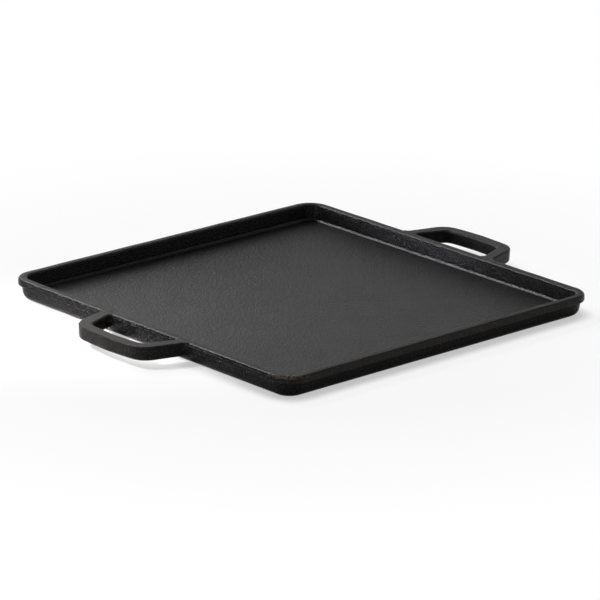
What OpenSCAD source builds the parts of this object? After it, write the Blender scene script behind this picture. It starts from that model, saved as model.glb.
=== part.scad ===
// Cast-iron camp griddle plate: a square, shallow tray with a lipped rim and two loop handles.
// Millimetres, +Z up. The origin is at the middle of the flat underside that the plate rests on.
// The handles point along X, and the front is at -Y.

/* [Plate] */
// Side of the square plate, measured across the lip
plate_side = 350; // [280:1:450]
// Height from the resting face to the top of the rim
plate_h = 19.5; // [16:0.5:30]
// Thickness of the cooking floor
floor_t = 5.5; // [4:0.1:8]
// Plan radius of the flat floor's corners, which the rim's corners go round
floor_corner_r = 5.3; // [1:0.1:60]

/* [Rim] */
// Width of the rim's top, from the lip's edge to the inner edge
rim_w = 7.6; // [6.5:0.1:16]
// Height of the lip's outer face
lip_h = 6.2; // [4:0.1:8]
// How far the lip stands out past the wall under it
lip_out = 2.8; // [1:0.1:4]
// Radius of the lip's upper outer edge
lip_edge_r = 2.5; // [0.5:0.1:3]
// Radius of the rim's upper inner edge
inner_edge_r = 2.4; // [0.5:0.1:3]
// Slope of the outer wall from upright, in degrees
outer_draft = 10; // [3:0.5:15]
// Slope of the inner wall from upright, in degrees
inner_draft = 12; // [3:0.5:20]
// Radius between the outer wall and the underside
base_r = 7.5; // [3:0.5:9]
// Radius between the inner wall and the cooking floor
floor_fillet_r = 4; // [2:0.5:12]

/* [Handles] */
// Reach of a handle beyond the lip, at the middle of its grip
handle_reach = 42; // [36:0.5:60]
// Thickness of a handle, down from the level of the rim's top
handle_t = 12.2; // [8:0.1:13]
// Width of the grip bar
grip_w = 11.5; // [9:0.5:18]
// Width of the finger opening at the lip
opening_w = 84; // [76:1:120]
// Width of each arm at the lip, measured along the rim
arm_w = 11; // [8:0.1:16]
// Angle by which the outer sides of the arms lean towards each other, in degrees
arm_splay = 15.5; // [0:0.5:20]
// Angle by which the sides of the opening lean towards each other, in degrees
opening_splay = 20; // [0:0.5:24]
// Radius of the bowed middle of the grip's outer and inner faces
grip_face_r = 200; // [120:5:250]
// Angle by which the grip falls back towards the rim at its ends, in degrees
grip_fall = 6; // [2:0.5:7]
// Radius of the outer corners of the grip
grip_corner_r = 18; // [8:0.5:22]
// Radius of the opening's corners at the grip bar
opening_corner_r = 7; // [1:0.5:9]
// Depth of the arms' seats in the rim, from the lip's edge
seat_depth = 5; // [4:0.1:6]

/* [Hidden] */
$fn = 96;
// Turn between two points of a rounded edge, in degrees
arc_step = 10;
iron = [0.14, 0.135, 0.13];
// Least flat strip of floor that belongs to the rim, inside the fillet
floor_land = 1;
// Step to which the rim's depth is rounded up, so that plan sizes are round numbers
plan_step = 0.1;
// How far a seat's cutter runs past the top of the rim
cut_over = 1;

lip_under_z = plate_h - lip_h;
wall_foot_in = lip_out + lip_under_z * tan(outer_draft);
inner_foot_in = rim_w + (plate_h - floor_t) * tan(inner_draft);
fillet_in = inner_foot_in + floor_fillet_r * tan(45 - inner_draft / 2);
rim_depth = ceil((fillet_in + floor_land) / plan_step) * plan_step;
corner_r = floor_corner_r + rim_depth;
half_side = plate_side / 2;
corner_c = half_side - corner_r;
opening_depth = handle_reach - grip_w;
handle_w = opening_w + 2 * arm_w;

function unit(v) = v / norm(v);
function turned(v, angle) = [v.x * cos(angle) - v.y * sin(angle), v.x * sin(angle) + v.y * cos(angle)];

// Points along the arc of radius r that rounds the corner at v, on the way from corner a to corner b
function arc_points(a, v, b, r) =
    let (to_a = unit(a - v))
    let (to_b = unit(b - v))
    let (half = acos(to_a * to_b) / 2)
    let (centre = v + unit(to_a + to_b) * r / sin(half))
    let (start = v + to_a * r / tan(half))
    let (turn = sign(cross(to_b, to_a)) * (180 - 2 * half))
    let (steps = ceil(abs(turn) / arc_step))
    [for (k = [0 : steps]) centre + turned(start - centre, k * turn / steps)];

// Outline through the given corners, each rounded by its radius; a radius of 0 keeps a corner sharp
function rounded(corners, radii) =
    let (n = len(corners))
    [
        for (i = [0 : n - 1])
            each radii[i] > 0
                ? arc_points(corners[(i + n - 1) % n], corners[i], corners[(i + 1) % n], radii[i])
                : [corners[i]]
    ];

// Section of the wall, lip, inner slope and fillet; x is measured out from the corner's centre
module rim_section() {
    corners = [
        [floor_corner_r, 0],
        [corner_r - wall_foot_in, 0],
        [corner_r - lip_out, lip_under_z],
        [corner_r, lip_under_z],
        [corner_r, plate_h],
        [corner_r - rim_w, plate_h],
        [corner_r - inner_foot_in, floor_t],
        [floor_corner_r, floor_t]
    ];
    radii = [0, base_r, 0, 0, lip_edge_r, inner_edge_r, floor_fillet_r, 0];
    polygon(rounded(corners, radii));
}

// Straight wall on the +X side, between two corners
module rim_run() {
    translate([corner_c, 0, 0])
        rotate([90, 0, 0])
            linear_extrude(2 * corner_c, center = true)
                rim_section();
}

// Straight wall on the +X side, with the seats of the handle's arms
module seated_rim_run() {
    difference() {
        rim_run();
        handle_bar(handle_t + cut_over);
    }
}

// Round corner between the +X and the +Y walls
module rim_corner() {
    translate([corner_c, corner_c, 0])
        rotate_extrude(angle = 90)
            rim_section();
}

// Corners of one half of a loop that is open towards the rim: at its root, at its end and at its middle.
// The loop is that wide at the lip and reaches that far beyond it, and its sides lean in by splay.
function half_loop(width, reach, splay) =
    let (root = [-seat_depth, width / 2 + seat_depth * tan(splay)])
    let (middle = [reach + grip_face_r * (1 / cos(grip_fall) - 1), 0])
    let (end_x = (middle.x - tan(grip_fall) * width / 2) / (1 - tan(grip_fall) * tan(splay)))
    [root, [end_x, width / 2 - end_x * tan(splay)], middle];

// The same corner on the other half of the loop
function mirrored(corner) = [corner.x, -corner.y];

// Two arms and a grip bar round the finger opening, on the +X side; the height goes up from the underside
module handle_bar(height) {
    outer = half_loop(handle_w, handle_reach, arm_splay);
    inner = half_loop(opening_w, opening_depth, opening_splay);
    corners = [
        mirrored(outer[0]), mirrored(outer[1]), outer[2], outer[1], outer[0],
        inner[0], inner[1], inner[2], mirrored(inner[1]), mirrored(inner[0])
    ];
    outer_radii = [0, grip_corner_r, grip_face_r, grip_corner_r, 0];
    inner_radii = [0, opening_corner_r, grip_face_r, opening_corner_r, 0];
    translate([half_side, 0, plate_h - handle_t])
        linear_extrude(height)
            polygon(rounded(corners, concat(outer_radii, inner_radii)));
}

// Cooking floor between the rims, with the flat underside
module floor_plate() {
    color(iron)
        linear_extrude(floor_t)
            union() {
                square([2 * corner_c, 2 * (corner_c + floor_corner_r)], center = true);
                square([2 * (corner_c + floor_corner_r), 2 * corner_c], center = true);
                for (x = [-corner_c, corner_c], y = [-corner_c, corner_c])
                    translate([x, y])
                        circle(floor_corner_r);
            }
}

module front_rim() {
    color(iron)
        rotate([0, 0, -90])
            rim_run();
}

module back_rim() {
    color(iron)
        rotate([0, 0, 90])
            rim_run();
}

module left_rim() {
    color(iron)
        rotate([0, 0, 180])
            seated_rim_run();
}

module right_rim() {
    color(iron)
        seated_rim_run();
}

module front_left_corner() {
    color(iron)
        rotate([0, 0, 180])
            rim_corner();
}

module front_right_corner() {
    color(iron)
        rotate([0, 0, -90])
            rim_corner();
}

module back_left_corner() {
    color(iron)
        rotate([0, 0, 90])
            rim_corner();
}

module back_right_corner() {
    color(iron)
        rim_corner();
}

module left_handle() {
    color(iron)
        rotate([0, 0, 180])
            handle_bar(handle_t);
}

module right_handle() {
    color(iron)
        handle_bar(handle_t);
}

floor_plate();
front_rim();
back_rim();
left_rim();
right_rim();
front_left_corner();
front_right_corner();
back_left_corner();
back_right_corner();
left_handle();
right_handle();
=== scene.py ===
import math

import bpy
import numpy as np
from mathutils import Matrix, Vector, noise


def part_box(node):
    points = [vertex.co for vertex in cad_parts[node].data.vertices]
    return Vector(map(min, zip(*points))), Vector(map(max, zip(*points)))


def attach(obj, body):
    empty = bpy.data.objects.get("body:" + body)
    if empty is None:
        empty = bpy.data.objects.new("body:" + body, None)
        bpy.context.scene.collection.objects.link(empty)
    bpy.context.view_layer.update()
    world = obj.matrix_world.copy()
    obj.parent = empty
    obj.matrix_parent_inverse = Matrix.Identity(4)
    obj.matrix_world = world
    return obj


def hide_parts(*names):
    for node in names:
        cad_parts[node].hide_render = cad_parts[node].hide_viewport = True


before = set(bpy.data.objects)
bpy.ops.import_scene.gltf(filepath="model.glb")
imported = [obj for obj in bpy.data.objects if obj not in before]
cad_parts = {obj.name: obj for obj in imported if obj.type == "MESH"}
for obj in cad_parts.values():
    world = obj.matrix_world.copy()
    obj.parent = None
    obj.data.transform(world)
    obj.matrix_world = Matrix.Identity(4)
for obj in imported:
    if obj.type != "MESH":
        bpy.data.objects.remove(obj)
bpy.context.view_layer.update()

# Sizes taken from the frame, in metres
MM = 0.001
HALF_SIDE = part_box("back_rim")[1].y
RIM_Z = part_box("back_rim")[1].z
FLOOR_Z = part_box("floor_plate")[1].z
RIM_DEPTH = HALF_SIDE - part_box("floor_plate")[1].y
CORNER_R = HALF_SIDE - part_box("back_rim")[1].x
HANDLE_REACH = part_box("right_handle")[1].x - HALF_SIDE
HANDLE_UNDER_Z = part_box("right_handle")[0].z
SEAT_DEPTH = HALF_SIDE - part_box("right_handle")[0].x

# Section of the rim, as in the solids, with the small radii that the casting has besides
RIM_W = 7.6 * MM
LIP_H = 6.2 * MM
LIP_OUT = 2.8 * MM
LIP_EDGE_R = 2.5 * MM
LIP_LOWER_R = 0.8 * MM
LIP_UNDER_R = 2 * MM
INNER_EDGE_R = 2.4 * MM
BASE_R = 7.5 * MM
FLOOR_FILLET_R = 4 * MM
OUTER_DRAFT = math.radians(10)
INNER_DRAFT = math.radians(12)
LIP_UNDER_Z = RIM_Z - LIP_H
WALL_FOOT_IN = LIP_OUT + LIP_UNDER_Z * math.tan(OUTER_DRAFT)
INNER_FOOT_IN = RIM_W + (RIM_Z - FLOOR_Z) * math.tan(INNER_DRAFT)

# Plan and section of a handle
GRIP_W = 11.5 * MM
OPENING_W = 84 * MM
OPENING_DEPTH = HANDLE_REACH - GRIP_W
ARM_W = 11 * MM
HANDLE_W = OPENING_W + 2 * ARM_W
ARM_SPLAY = math.radians(15.5)
OPENING_SPLAY = math.radians(20)
GRIP_FACE_R = 200 * MM
GRIP_FALL = math.radians(6)
GRIP_CORNER_R = 18 * MM
OPENING_CORNER_R = 7 * MM
OPENING_EDGE_R = 2 * MM
HANDLE_EDGE_R = 1.4 * MM
HANDLE_UNDER_R = 2.4 * MM
HANDLE_DRAFT = math.radians(3)
ROOT_FILLET_R = 3.5 * MM
# Height over which a root's fillet passes from the lip to the wall under it
ROOT_BLEND_H = 2 * MM
# The handles' tops lie this much under the rim's top, so that the two never share a plane
FLUSH_DROP = 0.005 * MM

# Fineness of the meshes
ARC_STEP = math.radians(7)
STRETCH = 2.2 * MM
RUN_STEPS = 150
CORNER_STEPS = 16
SIDE_STEPS = RUN_STEPS + CORNER_STEPS
DISC_RINGS = 14
ARM_POINTS = 48
TURN_POINTS = 30
FACE_POINTS = 18
SECTION_POINTS = 72

# Unevenness of a sand casting, the same in each run: a gentle warp of the whole shape
NOISE_SEED = 4
WARP = 0.16 * MM
WARP_LENGTH = 24 * MM
# and small waves along its edges
EDGE_WARP = 0.12 * MM
EDGE_WARP_LENGTH = 11 * MM

# Where the finish changes on the casting: depth below the rim's top that handling has smoothed
HANDLED_DEPTH = 1.5 * MM
# Height above the floor that still counts as floor
FLOOR_BAND = 0.5 * MM
# Depth below the rim's top that still counts as level
TOP_BAND = 0.05 * MM
# How far the inner edge's polish reaches past the edge
INNER_EDGE_OVER = 0.5 * MM
# How far out from the wall's foot the fillet's polish may reach
FILLET_BAND = 3 * MM
# Heights on the fillet, as shares of its radius: where its polish is full, where it ends and how it fades
FILLET_FULL = 0.05
FILLET_END = 0.8
FILLET_FADE = 0.2
# How far in from the lip's edge, and from what height above its underside, its outer face counts for the
# painted lighter face
LIP_FACE_IN = 0.7 * MM
LIP_FACE_UP = 0.3 * MM
# Half the length of the scuffed corner with its painted brown glints, in steps along the rim
RUBBED_GLINT_STEPS = 12
# Polish of the rim's outer and inner edges
LIP_POLISH = 0.9
INNER_POLISH = 0.6
# Share of the abrasion and painted glints that shows away from the left handle
LITTLE_WEAR_AND_GLINT = 0.12
# Share of thin seasoning on the handles
HANDLE_THIN = 0.2

# Colours of the iron, from well seasoned to uncoated; the thin seasoning also paints the lip's face lighter
# for the light it catches, and the uncoated grey and the scuffed brown paint glints on edges
DEEP_BLACK = (0.002, 0.002, 0.002, 1)
WARM_BLACK = (0.004, 0.0038, 0.0036, 1)
THIN_SEASONING_AND_LIP_SHEEN = (0.0232, 0.0213, 0.0175, 1)
SPECK_GREY = (0.1, 0.098, 0.096, 1)
RUBBED_BROWN_AND_GLINT = (0.115, 0.088, 0.069, 1)
BARE_IRON_AND_GLINT = (0.5, 0.48, 0.47, 1)
# Gloss level of the seasoning
SPECULAR = 0.06
# Grains per metre of the wall's two grains, the floor's grain and the wide patches
FINE_GRAIN = 900
SAND_GRAIN = 580
FLOOR_GRAIN = 480
PATCHES = 28
GRAIN_HEIGHT = 0.6 * MM

# The studio's floor: its half width in metres and its depth under the resting face
STAGE_HALF = 20
STAGE_DROP = 0.05 * MM
PAPER_GREY = (0.65, 0.65, 0.65, 1)
# Distances from the middle where the floor is lit by the lamps, and where it is plain white
LIT_RADIUS = 0.27
WHITE_RADIUS = 0.5

MIRROR = np.array([1, -1])


def held(value):
    """A share kept between 0 and 1."""
    return min(1.0, max(0.0, value))


def unit(v):
    return v / np.linalg.norm(v)


def arc(a, v, b, r):
    """Points along the arc of radius r that rounds the corner at v, on the way from a to b."""
    to_a = unit(a - v)
    to_b = unit(b - v)
    half = math.acos(float(to_a @ to_b)) / 2
    centre = v + unit(to_a + to_b) * r / math.sin(half)
    start = v + to_a * r / math.tan(half) - centre
    turn = math.copysign(math.pi - 2 * half, float(to_b[0] * to_a[1] - to_b[1] * to_a[0]))
    steps = math.ceil(abs(turn) / ARC_STEP)
    angles = [turn * k / steps for k in range(steps + 1)]
    return [centre + np.array([
        start[0] * math.cos(t) - start[1] * math.sin(t),
        start[0] * math.sin(t) + start[1] * math.cos(t),
    ]) for t in angles]


def rounded_path(corners, radii, wear_and_glint_shares):
    """Open path through the corners with its corners rounded, and the wear at each of its points."""
    corners = [np.array(c, float) for c in corners]
    path = []
    for i, (corner, r, wear_and_glint) in enumerate(zip(corners, radii, wear_and_glint_shares)):
        if r == 0:
            stops = [(corner, wear_and_glint)]
        else:
            points = arc(corners[i - 1], corner, corners[i + 1], r)
            last = len(points) - 1
            stops = [(p, wear_and_glint * math.sin(math.pi * k / last)) for k, p in enumerate(points)]
        if path:
            start = path[-1][0]
            gap = stops[0][0] - start
            between = math.floor(np.linalg.norm(gap) / STRETCH)
            for k in range(1, between):
                path.append((start + gap * k / between, 0.0))
        path.extend(stops)
    return path


def warped(p, wear_and_glint):
    """A point of the plain shape, moved by the casting's unevenness; the resting face stays flat."""
    v = Vector(p)
    push = noise.noise_vector(v / WARP_LENGTH) * WARP
    push += noise.noise_vector(v / EDGE_WARP_LENGTH) * EDGE_WARP * wear_and_glint
    push.z *= held(v.z / FLOOR_Z)
    return v + push


def new_piece(name, verts, faces, layers, replaced):
    """Mesh piece in the row's frame that rides on the plate and stands for some of its solids."""
    mesh = bpy.data.meshes.new(name)
    mesh.from_pydata([warped(v, w) for v, w in zip(verts, layers["wear_and_glint"])], [], faces)
    mesh.validate()
    mesh.polygons.foreach_set("use_smooth", [True] * len(mesh.polygons))
    for layer_name, values in layers.items():
        layer = mesh.attributes.new(layer_name, "FLOAT", "POINT")
        layer.data.foreach_set("value", np.array(values, np.float32))
    piece = bpy.data.objects.new(name, mesh)
    bpy.context.scene.collection.objects.link(piece)
    smooth = piece.modifiers.new("flat faces keep their normals", "WEIGHTED_NORMAL")
    smooth.keep_sharp = True
    piece.data.materials.append(iron)
    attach(piece, "root")
    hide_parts(*replaced)
    return piece


def rim_path():
    """The tray's section as (out, up): from the underside, out round the lip and in to the floor."""
    corners = [
        (-RIM_DEPTH, 0),
        (-WALL_FOOT_IN, 0),
        (-LIP_OUT, LIP_UNDER_Z),
        (0, LIP_UNDER_Z),
        (0, RIM_Z),
        (-RIM_W, RIM_Z),
        (-INNER_FOOT_IN, FLOOR_Z),
        (-RIM_DEPTH, FLOOR_Z),
    ]
    radii = [0, BASE_R, LIP_UNDER_R, LIP_LOWER_R, LIP_EDGE_R, INNER_EDGE_R, FLOOR_FILLET_R, 0]
    # Abrasion at each corner of the section; the lip's lower edge carries a row of painted glints
    wear_and_glint_shares = [0, 0.03, 0, 0.8, 0.05, 0.05, 0, 0]
    return rounded_path(corners, radii, wear_and_glint_shares)


def below_top(z):
    """0 at the level of the rim's top, and 1 from the depth on that handling leaves as cast."""
    return held((RIM_Z - z) / HANDLED_DEPTH)


def as_cast(p):
    """1 on the rough walls and the underside, 0 on the smooth cooking floor and the rim's top."""
    out, z = p
    if z < FLOOR_Z + FLOOR_BAND and out < -INNER_FOOT_IN:
        return 1.0 if z < FLOOR_Z / 2 else 0.0
    return below_top(z)


def edge_gloss(p):
    """Polish of the rim's two upper edges, 0 elsewhere."""
    out, z = p
    if z >= RIM_Z - TOP_BAND:
        return 0.0
    if out > -LIP_EDGE_R and z > RIM_Z - LIP_EDGE_R:
        return LIP_POLISH
    on_edge = -RIM_W - INNER_EDGE_OVER < out < -RIM_W + INNER_EDGE_R
    return INNER_POLISH if on_edge and z > RIM_Z - INNER_EDGE_R else 0.0


def fillet_gloss(p):
    """1 on the smooth fillet between wall and cooking floor, 0 elsewhere."""
    out, z = p
    if out > -INNER_FOOT_IN + FILLET_BAND or z < FLOOR_Z:
        return 0.0
    rise = (z - FLOOR_Z) / FLOOR_FILLET_R
    return held(rise / FILLET_FULL) * held((FILLET_END - rise) / FILLET_FADE)


def turn_share(i):
    """0 along the straight runs of a ring, and up to 1 at the middle of each corner."""
    step = i % SIDE_STEPS - RUN_STEPS
    return math.sin(math.pi * step / CORNER_STEPS) if step > 0 else 0.0


def handle_share(i):
    """1 along the two sides with handles, 0 along the front and the back, blended round the corners."""
    side, step = divmod(i, SIDE_STEPS)
    share = max(0, step - RUN_STEPS) / CORNER_STEPS
    return share if side % 2 else 1 - share


def rim_gloss(p, i):
    """Polish at the i-th point of the ring through the section's point p."""
    inner = as_cast(p) if p[0] < -RIM_W else 0.0
    return max(fillet_gloss(p), edge_gloss(p) * handle_share(i), inner * turn_share(i))


def lip_face(p, i):
    """1 on the lip's outer face at the front and the back, where it is painted lighter for the light it
    catches, 0 elsewhere.
    """
    on_face = p[0] > -LIP_FACE_IN and p[1] > LIP_UNDER_Z + LIP_FACE_UP
    return 1 - handle_share(i) if on_face else 0.0


def rubbed_glint_corner(p, i):
    """Up to 1 on the rim's edge round the front left corner, where it is scuffed brown and brown glints are
    painted, 0 elsewhere.
    """
    middle = 3 * SIDE_STEPS - CORNER_STEPS / 2
    on_edge = p[0] > -RIM_W / 2 and p[1] > RIM_Z - LIP_EDGE_R
    return max(0.0, 1 - abs(i - middle) / RUBBED_GLINT_STEPS) if on_edge else 0.0


def ring(out, z):
    """Closed loop round the plate at a distance out from the lip's edge, anticlockwise from the right."""
    c = HALF_SIDE - CORNER_R
    r = CORNER_R + out
    points = []
    for k in range(4):
        turn = math.pi / 2 * k
        cos, sin = math.cos(turn), math.sin(turn)
        local = [(c + r, -c + 2 * c * i / RUN_STEPS) for i in range(RUN_STEPS)]
        for i in range(CORNER_STEPS):
            a = math.pi / 2 * i / CORNER_STEPS
            local.append((c + r * math.cos(a), c + r * math.sin(a)))
        points.extend((x * cos - y * sin, x * sin + y * cos, z) for x, y in local)
    return points


def wear_and_glint_side(p):
    """Share of abrasion and painted glints at a point of the rim: full beside the left handle, where the
    light from the left falls, and little elsewhere.
    """
    beside = -p[0] > abs(p[1]) > OPENING_W / 2
    return 1.0 if beside else LITTLE_WEAR_AND_GLINT


def tray_layers(path, rim):
    """Values that drive the iron at the tray's points: the disc below, the rim, the floor and two hubs."""
    n = len(rim[0])
    spots = [(p, i) for p, _ in path for i in range(n)]
    on_rim = {
        "wear_and_glint": [w * wear_and_glint_side(p) for (_, w), loop in zip(path, rim) for p in loop],
        "cast": [as_cast(p) for p, _ in spots],
        "lip": [lip_face(p, i) for p, i in spots],
        "rubbed_brown_glint": [rubbed_glint_corner(p, i) for p, i in spots],
        "top": [1 - below_top(p[1]) for p, _ in spots],
        "gloss": [rim_gloss(p, i) for p, i in spots],
    }
    disc = (DISC_RINGS - 1) * n
    layers = {}
    for name, values in on_rim.items():
        below = 1.0 if name == "cast" else 0.0
        layers[name] = [below] * disc + values + [0.0] * disc + [below, 0.0]
    return layers


def make_tray():
    """Floor, walls, lip and corners as one closed surface."""
    path = rim_path()
    rim = [ring(p[0], p[1]) for p, _ in path]
    shares = [1 - k / DISC_RINGS for k in range(1, DISC_RINGS)]
    under = [[(x * s, y * s, z) for x, y, z in rim[0]] for s in reversed(shares)]
    floor = [[(x * s, y * s, z) for x, y, z in rim[-1]] for s in shares]
    rings = under + rim + floor
    n = len(rim[0])
    verts = [p for loop in rings for p in loop]
    faces = []
    for j in range(len(rings) - 1):
        for i in range(n):
            k = (i + 1) % n
            faces.append((j * n + i, j * n + k, (j + 1) * n + k, (j + 1) * n + i))
    verts += [(0, 0, 0), (0, 0, FLOOR_Z)]
    under_hub, floor_hub = len(verts) - 2, len(verts) - 1
    top = (len(rings) - 1) * n
    for i in range(n):
        k = (i + 1) % n
        faces.append((under_hub, k, i))
        faces.append((floor_hub, top + i, top + k))
    solids = [
        "floor_plate",
        "front_rim", "back_rim", "left_rim", "right_rim",
        "front_left_corner", "front_right_corner", "back_left_corner", "back_right_corner",
    ]
    return new_piece("tray", verts, faces, tray_layers(path, rim), solids)


def half_loop(width, reach, splay):
    """Corners of half a loop open towards the rim: at its root, at its end and at its middle."""
    root = np.array([-SEAT_DEPTH, width / 2 + SEAT_DEPTH * math.tan(splay)])
    middle_x = reach + GRIP_FACE_R * (1 / math.cos(GRIP_FALL) - 1)
    fall = math.tan(GRIP_FALL)
    end_x = (middle_x - fall * width / 2) / (1 - fall * math.tan(splay))
    end = np.array([end_x, width / 2 - end_x * math.tan(splay)])
    return root, end, np.array([middle_x, 0])


def even_points(path, count):
    """That many points at even steps along a path."""
    path = np.array(path)
    run = np.concatenate([[0], np.cumsum(np.linalg.norm(np.diff(path, axis=0), axis=1))])
    at = np.linspace(0, run[-1], count)
    return np.c_[np.interp(at, run, path[:, 0]), np.interp(at, run, path[:, 1])]


def half_side_of(width, reach, splay, corner_r):
    """Half of a loop's side: the root of its straight arm, the arc at its end and the grip's face."""
    root, end, middle = half_loop(width, reach, splay)
    turn = arc(root, end, middle, corner_r)
    face = arc(end, middle, end * MIRROR, GRIP_FACE_R)
    face = [p for p in face if p[1] > 0] + [np.array([reach, 0])]
    return root, turn, [turn[-1], *face]


def handle_sides():
    """Matching points on the inner and the outer side of a handle, from one root round to the other."""
    in_root, in_turn, in_face = half_side_of(OPENING_W, OPENING_DEPTH, OPENING_SPLAY, OPENING_CORNER_R)
    out_root, out_turn, out_face = half_side_of(HANDLE_W, HANDLE_REACH, ARM_SPLAY, GRIP_CORNER_R)
    inner = list(even_points([in_root, in_turn[0]], ARM_POINTS))
    step = (in_turn[0][0] - in_root[0]) / (ARM_POINTS - 1)
    lean = -math.tan(ARM_SPLAY)
    outer = [out_root + step * k * np.array([1, lean]) for k in range(ARM_POINTS)]
    inner += list(even_points(in_turn, TURN_POINTS)[1:])
    outer += list(even_points([outer[-1], *out_turn], TURN_POINTS)[1:])
    inner += list(even_points(in_face, FACE_POINTS)[1:])
    outer += list(even_points(out_face, FACE_POINTS)[1:])
    inner += [p * MIRROR for p in reversed(inner[:-1])]
    outer += [p * MIRROR for p in reversed(outer[:-1])]
    return inner, outer


def fillet_flare(distance, r):
    """How far a fillet of radius r stands out at a distance from the wall."""
    s = min(max(distance, 0), r)
    return r - math.sqrt(r * r - (r - s) ** 2)


def root_flare(x, z):
    """Widening of an arm towards its root: to the lip's side above, and to the wall below."""
    wall_x = -LIP_OUT - max(0, LIP_UNDER_Z - z) * math.tan(OUTER_DRAFT)
    share = held((z - LIP_UNDER_Z) / ROOT_BLEND_H + 0.5)
    share = share * share * (3 - 2 * share)
    at_lip = fillet_flare(x, ROOT_FILLET_R)
    at_wall = fillet_flare(x - wall_x, ROOT_FILLET_R)
    return at_wall + (at_lip - at_wall) * share


def bar_section(width):
    """Closed section of a bar, from the middle of its top anticlockwise: (across, up) and the wear."""
    lean = (RIM_Z - HANDLE_UNDER_Z) * math.tan(HANDLE_DRAFT)
    top_z = RIM_Z - FLUSH_DROP
    corners = [
        (width / 2, top_z),
        (0, top_z),
        (lean, HANDLE_UNDER_Z),
        (width - lean, HANDLE_UNDER_Z),
        (width, top_z),
        (width / 2, top_z),
    ]
    radii = [0, OPENING_EDGE_R, HANDLE_UNDER_R, HANDLE_UNDER_R, HANDLE_EDGE_R, 0]
    wear_and_glint_shares = [0, 0.05, 0.08, 0.08, 0.05, 0]
    return rounded_path(corners, radii, wear_and_glint_shares)


def section_loop(a, b):
    """The bar's section between an inner point a and an outer point b, as even points with their wear."""
    width = float(np.linalg.norm(b - a))
    flat = np.array([[p[0], p[1], w] for p, w in bar_section(width)])
    run = np.concatenate([[0], np.cumsum(np.linalg.norm(np.diff(flat[:, :2], axis=0), axis=1))])
    at = np.linspace(0, 1, SECTION_POINTS, endpoint=False) * run[-1]
    return [np.interp(at, run, flat[:, k]) for k in range(3)], width


def make_handle(name, side, solid):
    """Two arms and a grip bar round the finger opening, with fillets where they grow out of the rim."""
    inner, outer = handle_sides()
    n = SECTION_POINTS
    verts, wear_and_glint = [], []
    for a, b in zip(inner, outer):
        (across, up, edge_wear_and_glint), width = section_loop(a, b)
        step = (b - a) / width
        for u, z, w in zip(across, up, edge_wear_and_glint):
            x, y = a + step * u
            if x < OPENING_DEPTH / 2:
                y += math.copysign(root_flare(x, z), a[1]) * (2 * u / width - 1)
            verts.append((side * (HALF_SIDE + x), side * y, z))
            wear_and_glint.append(w)
    faces = []
    for j in range(len(inner) - 1):
        for i in range(n):
            k = (i + 1) % n
            faces.append((j * n + i, (j + 1) * n + i, (j + 1) * n + k, j * n + k))
    last = (len(inner) - 1) * n
    faces.append(tuple(range(n)))
    faces.append(tuple(last + i for i in reversed(range(n))))
    layers = {
        "wear_and_glint": wear_and_glint,
        "cast": [below_top(z) for _, _, z in verts],
        "lip": [HANDLE_THIN] * len(verts),
        "rubbed_brown_glint": [0.0] * len(verts),
        "top": [1 - below_top(z) for _, _, z in verts],
        "gloss": [0.0] * len(verts),
    }
    return new_piece(name, verts, faces, layers, [solid])


class Graph:
    """Short ways to add linked nodes to a material."""

    def __init__(self, mat):
        mat.use_nodes = True
        self.nodes = mat.node_tree.nodes
        self.links = mat.node_tree.links
        self.place = self.nodes.new("ShaderNodeTexCoord").outputs["Object"]

    def feed(self, socket, value):
        """Link a socket into an input, or set the input to a plain value."""
        if hasattr(value, "is_output"):
            self.links.new(value, socket)
        else:
            socket.default_value = value

    def grain(self, scale, detail, roughness=0.5):
        """Noise over the object's own space, from 0 to 1."""
        node = self.nodes.new("ShaderNodeTexNoise")
        node.inputs["Scale"].default_value = scale
        node.inputs["Detail"].default_value = detail
        node.inputs["Roughness"].default_value = roughness
        self.links.new(self.place, node.inputs["Vector"])
        return node.outputs["Fac"]

    def layer(self, name):
        """A value kept in the mesh."""
        node = self.nodes.new("ShaderNodeAttribute")
        node.attribute_name = name
        return node.outputs["Fac"]

    def openness(self, distance):
        """1 where nothing stands within a distance above the surface, less where something does."""
        node = self.nodes.new("ShaderNodeAmbientOcclusion")
        node.inputs["Distance"].default_value = distance
        return node.outputs["AO"]

    def math(self, operation, a, b):
        node = self.nodes.new("ShaderNodeMath")
        node.operation = operation
        self.feed(node.inputs[0], a)
        self.feed(node.inputs[1], b)
        return node.outputs["Value"]

    def ranged(self, value, from_low, from_high, to_low, to_high):
        """A value moved from one range to another, held at its ends."""
        node = self.nodes.new("ShaderNodeMapRange")
        self.links.new(value, node.inputs["Value"])
        self.feed(node.inputs["From Min"], from_low)
        self.feed(node.inputs["From Max"], from_high)
        self.feed(node.inputs["To Min"], to_low)
        self.feed(node.inputs["To Max"], to_high)
        return node.outputs["Result"]

    def between(self, share, low, high):
        """A value that goes from low to high as a share goes from 0 to 1."""
        return self.ranged(share, 0.0, 1.0, low, high)

    def mixed(self, share, a, b):
        """Blend of two colours."""
        node = self.nodes.new("ShaderNodeMix")
        node.data_type = "RGBA"
        self.feed(node.inputs["Factor"], share)
        self.feed(node.inputs["A"], a)
        self.feed(node.inputs["B"], b)
        return node.outputs["Result"]


def make_iron():
    """Seasoned cast iron: black, satin, with a fine sand grain, scuffed edges and painted glints."""
    mat = bpy.data.materials.new("seasoned_iron")
    g = Graph(mat)
    shader = g.nodes["Principled BSDF"]
    shader.inputs["Specular IOR Level"].default_value = SPECULAR
    grain = {
        "fine": g.grain(FINE_GRAIN, 2),
        "sand": g.grain(SAND_GRAIN, 2),
        "floor": g.grain(FLOOR_GRAIN, 5, 0.6),
        "patches": g.grain(PATCHES, 3),
    }
    layer = {name: g.layer(name) for name in ("wear_and_glint", "cast", "lip", "rubbed_brown_glint", "top", "gloss")}
    g.feed(shader.inputs["Base Color"], iron_colour(g, grain, layer))
    g.feed(shader.inputs["Roughness"], iron_roughness(g, grain, layer))
    g.feed(shader.inputs["Normal"], iron_relief(g, grain, layer))
    return mat


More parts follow.
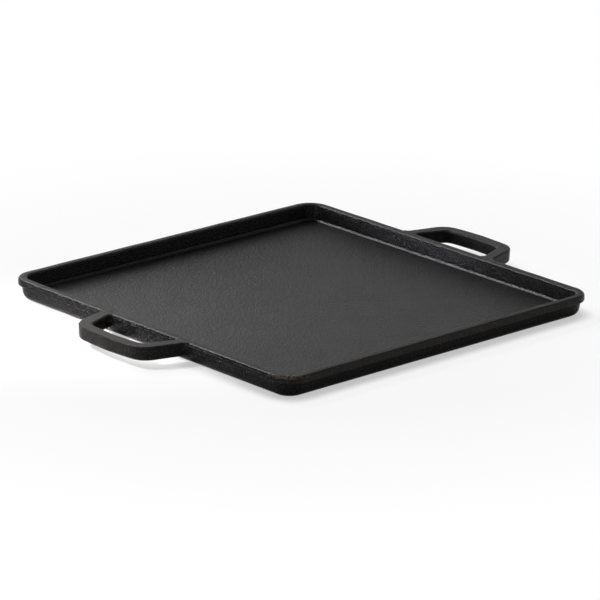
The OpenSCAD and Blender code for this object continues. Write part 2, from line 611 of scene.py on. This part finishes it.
def iron_colour(g, grain, layer):
    """Black with grey specks, a lip face painted lighter for the light it catches, thin seasoning on the
    handles, painted glints along edges and painted brown glints on one scuffed corner.
    """
    black = g.mixed(grain["patches"], DEEP_BLACK, WARM_BLACK)
    # Painted sheen: the lip's face at the front and back is made lighter for the light it catches; on the
    # handles the same colour is thin seasoning
    black = g.mixed(layer["lip"], black, THIN_SEASONING_AND_LIP_SHEEN)
    floor_specks = g.ranged(grain["floor"], 0.45, 0.8, 0.0, 0.16)
    wall_specks = g.ranged(grain["fine"], 0.55, 0.75, 0.0, 0.38)
    specks = g.between(layer["cast"], floor_specks, wall_specks)
    colour = g.mixed(specks, black, SPECK_GREY)
    # Painted glints: pale grey dots along edges, mostly in a row under the lip beside the left handle,
    # where the light from the left falls
    glints = g.math("MULTIPLY", layer["wear_and_glint"], g.ranged(grain["sand"], 0.59, 0.66, 0.0, 1.0))
    colour = g.mixed(glints, colour, BARE_IRON_AND_GLINT)
    # Painted brown glints mixed with scuffing on the upper edge round the front left corner
    rubbed_and_glint = g.math("MULTIPLY", layer["rubbed_brown_glint"], g.ranged(grain["sand"], 0.41, 0.55, 0.0, 1.0))
    return g.mixed(rubbed_and_glint, colour, RUBBED_BROWN_AND_GLINT)


def iron_roughness(g, grain, layer):
    """Satin floor, a harder sheen on the cast walls, duller tops and polished fillets and edges."""
    satin = g.ranged(grain["patches"], 0.3, 0.7, 0.35, 0.39)
    rough = g.math("SUBTRACT", satin, g.between(layer["cast"], 0.0, 0.13))
    dull = g.math("MULTIPLY", layer["top"], g.between(layer["gloss"], 0.1, 0.0))
    rough = g.math("ADD", rough, dull)
    return g.math("SUBTRACT", rough, g.math("MULTIPLY", layer["gloss"], 0.14))


def iron_relief(g, grain, layer):
    """Bump of the sand grain on the walls and the floor's own grain, shallower where polished."""
    wall = g.math("ADD", grain["sand"], g.math("MULTIPLY", grain["fine"], 0.6))
    floor = g.math("MULTIPLY", grain["floor"], 1.15)
    relief = g.between(layer["cast"], floor, wall)
    depth = g.between(layer["cast"], 1.0, 1.15)
    depth = g.math("MULTIPLY", depth, g.between(layer["gloss"], 1.0, 0.4))
    bump = g.nodes.new("ShaderNodeBump")
    bump.inputs["Strength"].default_value = 1
    bump.inputs["Distance"].default_value = GRAIN_HEIGHT
    g.feed(bump.inputs["Height"], g.math("MULTIPLY", relief, depth))
    return bump.outputs["Normal"]


def make_paper():
    """Pale paper that the lamps light and the plate shades; it is shown as white further out, and its white
    glow is turned down where the plate stands near, a painted contact shadow that is deeper in reflections.
    """
    mat = bpy.data.materials.new("pale_paper")
    g = Graph(mat)
    paper = g.nodes["Principled BSDF"]
    paper.inputs["Base Color"].default_value = PAPER_GREY
    paper.inputs["Roughness"].default_value = 0.9
    paper.inputs["Specular IOR Level"].default_value = 0
    white = g.nodes.new("ShaderNodeEmission")
    mix = g.nodes.new("ShaderNodeMixShader")
    far = g.nodes.new("ShaderNodeVectorMath")
    far.operation = "LENGTH"
    g.feed(far.inputs[0], g.place)
    # Painted contact shadow: the white glow is turned down by the occlusion near the plate, for the camera
    # and more so for gloss rays
    seen_glow_with_painted_shadow = g.ranged(g.openness(0.015), 0.5, 1.0, 0.5, 0.88)
    mirrored_glow_with_painted_shadow = g.ranged(g.openness(0.03), 0.5, 0.95, 0.1, 0.88)
    glossy = g.nodes.new("ShaderNodeLightPath").outputs["Is Glossy Ray"]
    near_glow_with_painted_shadow = g.between(glossy, seen_glow_with_painted_shadow, mirrored_glow_with_painted_shadow)
    share = g.ranged(far.outputs["Value"], LIT_RADIUS, WHITE_RADIUS, near_glow_with_painted_shadow, 1.0)
    g.feed(mix.inputs["Fac"], g.math("MULTIPLY", seen_rays(g.nodes, g.links), share))
    g.feed(mix.inputs[1], paper.outputs["BSDF"])
    g.feed(mix.inputs[2], white.outputs["Emission"])
    g.feed(g.nodes["Material Output"].inputs["Surface"], mix.outputs["Shader"])
    return mat


def make_stage():
    """Plain pale floor just under the plate."""
    mesh = bpy.data.meshes.new("studio_floor")
    turns = [(-1, -1), (1, -1), (1, 1), (-1, 1)]
    corners = [(x * STAGE_HALF, y * STAGE_HALF, -STAGE_DROP) for x, y in turns]
    mesh.from_pydata(corners, [], [(0, 1, 2, 3)])
    mesh.materials.append(make_paper())
    floor = bpy.data.objects.new("studio_floor", mesh)
    bpy.context.scene.collection.objects.link(floor)


def seen_rays(nodes, links):
    """Socket that is 1 for rays from the camera, from gloss and through glass, and 0 for the rest."""
    path = nodes.new("ShaderNodeLightPath")
    total = path.outputs["Is Camera Ray"]
    for name in ("Is Glossy Ray", "Is Transmission Ray"):
        both = nodes.new("ShaderNodeMath")
        both.operation = "MAXIMUM"
        links.new(total, both.inputs[0])
        links.new(path.outputs[name], both.inputs[1])
        total = both.outputs["Value"]
    return total


def make_world():
    """Dim soft surroundings that look white."""
    world = bpy.data.worlds.new("studio")
    bpy.context.scene.world = world
    world.use_nodes = True
    nodes = world.node_tree.nodes
    links = world.node_tree.links
    soft = nodes["Background"]
    soft.inputs["Color"].default_value = (1, 1, 1, 1)
    soft.inputs["Strength"].default_value = 0.2
    white = nodes.new("ShaderNodeBackground")
    mix = nodes.new("ShaderNodeMixShader")
    links.new(seen_rays(nodes, links), mix.inputs["Fac"])
    links.new(soft.outputs["Background"], mix.inputs[1])
    links.new(white.outputs["Background"], mix.inputs[2])
    links.new(mix.outputs["Shader"], nodes["World Output"].inputs["Surface"])


def make_light(name, place, width, height, watts, colour, aim=(0, 0, 0), spread=180):
    """Soft box at a place, turned to a point of the plate; a smaller spread is that of a grid before it."""
    data = bpy.data.lights.new(name, "AREA")
    data.shape = "RECTANGLE"
    data.size = width
    data.size_y = height
    data.energy = watts
    data.color = colour
    data.spread = math.radians(spread)
    lamp = bpy.data.objects.new(name, data)
    lamp.location = place
    lamp.rotation_mode = "QUATERNION"
    lamp.rotation_quaternion = (Vector(aim) - Vector(place)).to_track_quat("-Z", "Y")
    lamp.visible_camera = False
    bpy.context.scene.collection.objects.link(lamp)


def make_lights():
    """High key at the back, low lights from the left, and weak lights from the right and the back."""
    right_wall = (0.165, 0.02, 0.012)
    right_fillet = (0.165, -0.07, 0.008)
    beside_handle = (-0.2, 0.08, 0.01)
    make_light("key", (-0.22, 1.54, 1.56), 1.0, 0.4, 35, (1.0, 0.98, 1.02))
    make_light("low_left", (-0.37, 0.62, 0.09), 0.08, 0.05, 0.0138, (1.0, 0.96, 1.06), right_wall, 10.5)
    make_light("mid_left", (-0.4, 0.97, 0.92), 0.3, 0.3, 0.13, (1.0, 0.95, 1.04), right_fillet, 12)
    make_light("left", (-0.62, 0.36, 0.5), 0.2, 0.2, 0.42, (1.0, 0.97, 1.0), beside_handle, 16)
    make_light("front_left", (-2.46, 0.41, 0.2), 0.3, 0.3, 17.5, (1.0, 0.98, 1.0))
    make_light("right", (1.49, -1.24, 1.24), 0.6, 0.6, 2.5, (1.0, 1.0, 0.94))
    make_light("back_left", (0.54, 1.39, 0.68), 0.7, 0.5, 5.2, (1.0, 1.0, 1.0))
    make_light("back_right", (1.35, 0.9, 0.4), 0.7, 0.4, 0.5, (1.0, 1.0, 0.98))


def make_camera():
    """Long lens at the photograph's viewing angle, aimed at the plate's middle."""
    azimuth = math.radians(-42.962)
    elevation = math.radians(18.177)
    roll = math.radians(1.0735)
    distance = 3.63984
    aim = Vector((-0.32 * MM, 0.3 * MM, 5.35 * MM))
    data = bpy.data.cameras.new("camera")
    data.sensor_width = 36
    data.lens = 258.64
    camera = bpy.data.objects.new("camera", data)
    back = Vector((
        math.sin(azimuth) * math.cos(elevation),
        -math.cos(azimuth) * math.cos(elevation),
        math.sin(elevation),
    ))
    turn = (-back).to_track_quat("-Z", "Y").to_matrix().to_4x4()
    place = Matrix.Translation(aim + back * distance)
    camera.matrix_world = place @ turn @ Matrix.Rotation(roll, 4, "Z")
    bpy.context.scene.collection.objects.link(camera)
    bpy.context.scene.camera = camera


noise.seed_set(NOISE_SEED)
iron = make_iron()
make_tray()
make_handle("right_loop_handle", 1, "right_handle")
make_handle("left_loop_handle", -1, "left_handle")
make_stage()
make_world()
make_lights()
make_camera()
bpy.context.scene.view_settings.view_transform = "Standard"
